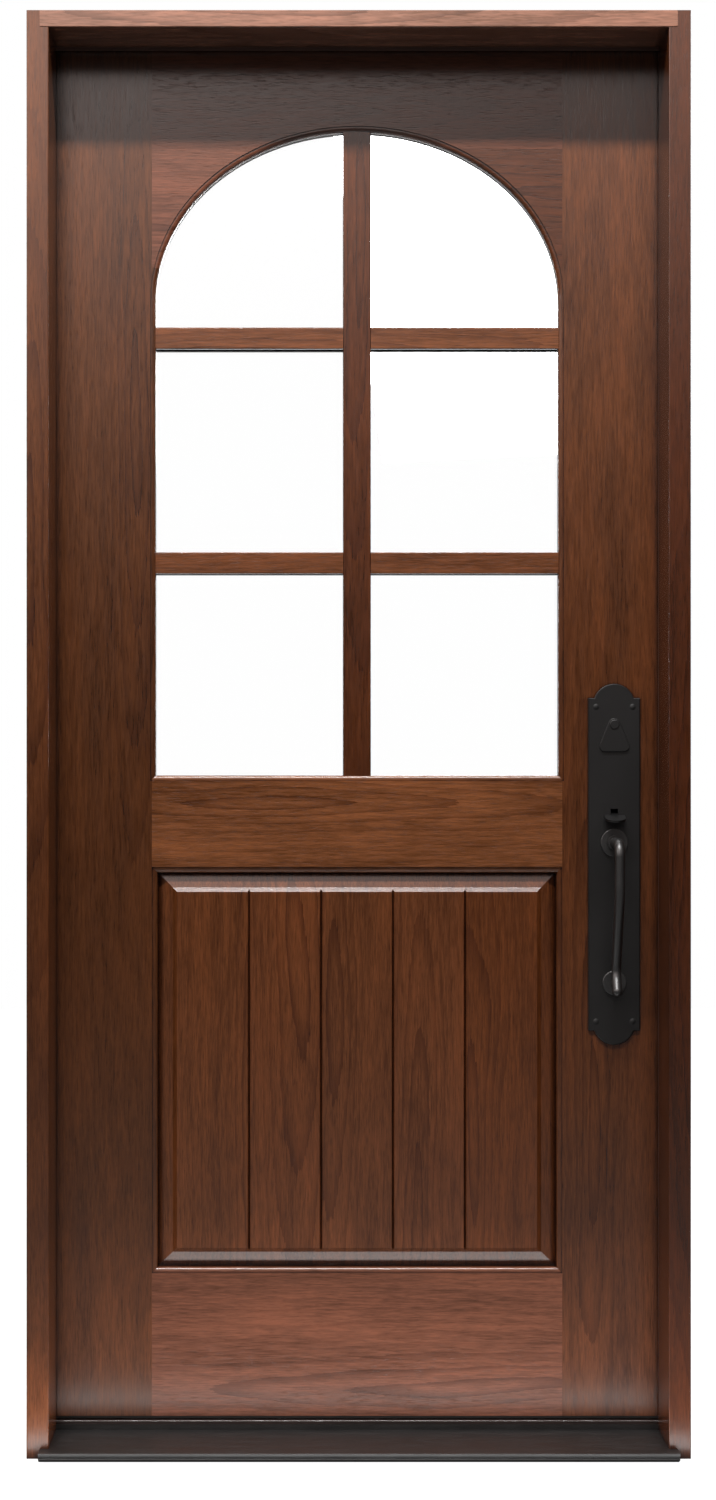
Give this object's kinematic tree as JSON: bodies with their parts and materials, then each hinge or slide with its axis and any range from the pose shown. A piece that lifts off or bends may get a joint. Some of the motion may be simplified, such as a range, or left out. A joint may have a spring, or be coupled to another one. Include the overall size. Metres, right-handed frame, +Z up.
{
  "type": "entry door with frame",
  "caption": "Pre-hung wooden front door in its frame: arched glazed upper light with bars, raised plank panel below, sill, seals and a tall handle set.",
  "frame": {"origin": "Middle of the frame's width, on the plane of the jambs' outer front edges, at the foot of the sill.", "axes": "+X right seen from outside, +Y inwards through the door, +Z up. The outside face looks along -Y."},
  "size_m": [0.9524, 0.2432, 2.076],
  "materials": {
    "frame_wood": "stained mahogany, satin varnish",
    "leaf_wood": "stained mahogany, satin varnish",
    "cap_wood": "dark stained hardwood",
    "sill_aluminium": "dark bronze anodised, dull",
    "sill_plastic": "black, matte",
    "seal_foam": "dark brown foam skin",
    "sweep_rubber": "black, matte",
    "clear_glass": "clear float glass",
    "spacer_bronze": "dark bronze",
    "black_metal": "black powder coat, satin",
    "plain_steel": "plain steel",
    "brass_cylinder": "plain brass"
  },
  "bodies": {
    "frame": {"jamb_left": "frame_wood", "jamb_right": "frame_wood", "head_jamb": "frame_wood", "sill_tread": "sill_aluminium", "sill_base": "sill_plastic", "threshold_cap": "cap_wood", "weatherstrip_left": "seal_foam", "weatherstrip_right": "seal_foam", "weatherstrip_head": "seal_foam", "jamb_leaf_bottom": "black_metal", "jamb_leaf_middle": "black_metal", "jamb_leaf_top": "black_metal", "hinge_pins": "black_metal", "jamb_hinge_screws": "black_metal", "strike_plate": "black_metal", "strike_screws": "black_metal", "frame_screws": "plain_steel"},
    "door": {"stile_left": "leaf_wood", "stile_right": "leaf_wood", "top_rail": "leaf_wood", "arch_corner_left": "leaf_wood", "arch_corner_right": "leaf_wood", "lock_rail": "leaf_wood", "bottom_rail": "leaf_wood", "panel_plank_1": "leaf_wood", "panel_plank_2": "leaf_wood", "panel_plank_3": "leaf_wood", "panel_plank_4": "leaf_wood", "panel_plank_5": "leaf_wood", "bar_outer_vertical": "leaf_wood", "bars_outer_cross": "leaf_wood", "bar_inner_vertical": "leaf_wood", "bars_inner_cross": "leaf_wood", "glass_stop_left": "leaf_wood", "glass_stop_right": "leaf_wood", "glass_stop_bottom": "leaf_wood", "glass_stop_arch": "leaf_wood", "glass_outer": "clear_glass", "glass_inner": "clear_glass", "glass_spacer": "spacer_bronze", "door_sweep": "sweep_rubber", "door_leaf_bottom": "black_metal", "door_leaf_middle": "black_metal", "door_leaf_top": "black_metal", "door_hinge_screws": "black_metal", "lock_case": "plain_steel", "face_plate": "black_metal", "lock_screws": "black_metal", "cylinder": "brass_cylinder", "outer_plate": "black_metal", "outer_plate_screws": "black_metal", "grip": "black_metal", "inner_plate": "black_metal"},
    "thumb": {"thumb_piece": "black_metal"},
    "cover": {"keyhole_cover": "black_metal"},
    "lever": {"inner_lever": "black_metal"},
    "turn": {"thumb_turn": "black_metal"},
    "deadbolt": {"dead_bolt": "plain_steel"},
    "latch": {"latch_bolt": "plain_steel"},
    "plug": {"key_plug": "brass_cylinder"}
  },
  "joints": [
    {"name": "door_swing", "type": "hinge", "parent": "frame", "child": "door", "pos_m": [-0.45558, 0.1735, 0], "axis": [0, 0, 1], "range_deg": [0, 110]},
    {"name": "thumb_press", "type": "hinge", "parent": "door", "child": "thumb", "pos_m": [0.37995, 0.1258, 0.9235], "axis": [1, 0, 0], "range_deg": [0, 18], "stiffness_Nm_per_rad": 0.5, "springref_deg": -17.19},
    {"name": "cover_swing", "type": "hinge", "parent": "door", "child": "cover", "pos_m": [0.37995, 0.1182, 1.0555], "axis": [0, 1, 0], "range_deg": [-75, 75]},
    {"name": "lever_turn", "type": "hinge", "parent": "door", "child": "lever", "pos_m": [0.37995, 0.1702, 0.919], "axis": [0, -1, 0], "range_deg": [0, 45], "stiffness_Nm_per_rad": 1, "springref_deg": -22.92},
    {"name": "turn_knob", "type": "hinge", "parent": "door", "child": "turn", "pos_m": [0.37995, 0.1702, 1.034], "axis": [0, 1, 0], "range_deg": [0, 90]},
    {"name": "bolt_throw", "type": "slide", "parent": "door", "child": "deadbolt", "axis": [1, 0, 0], "range_m": [0, 0.0254]},
    {"name": "latch_slide", "type": "slide", "parent": "door", "child": "latch", "axis": [1, 0, 0], "range_m": [0, 0.0127]},
    {"name": "plug_turn", "type": "hinge", "parent": "door", "child": "plug", "pos_m": [0.37995, 0.1182, 1.034], "axis": [0, 1, 0], "range_deg": [-90, 90]}
  ],
  "couplings": [
    {"joint": "turn_knob", "follows": "bolt_throw", "rad_per_m": 61.84}
  ]
}
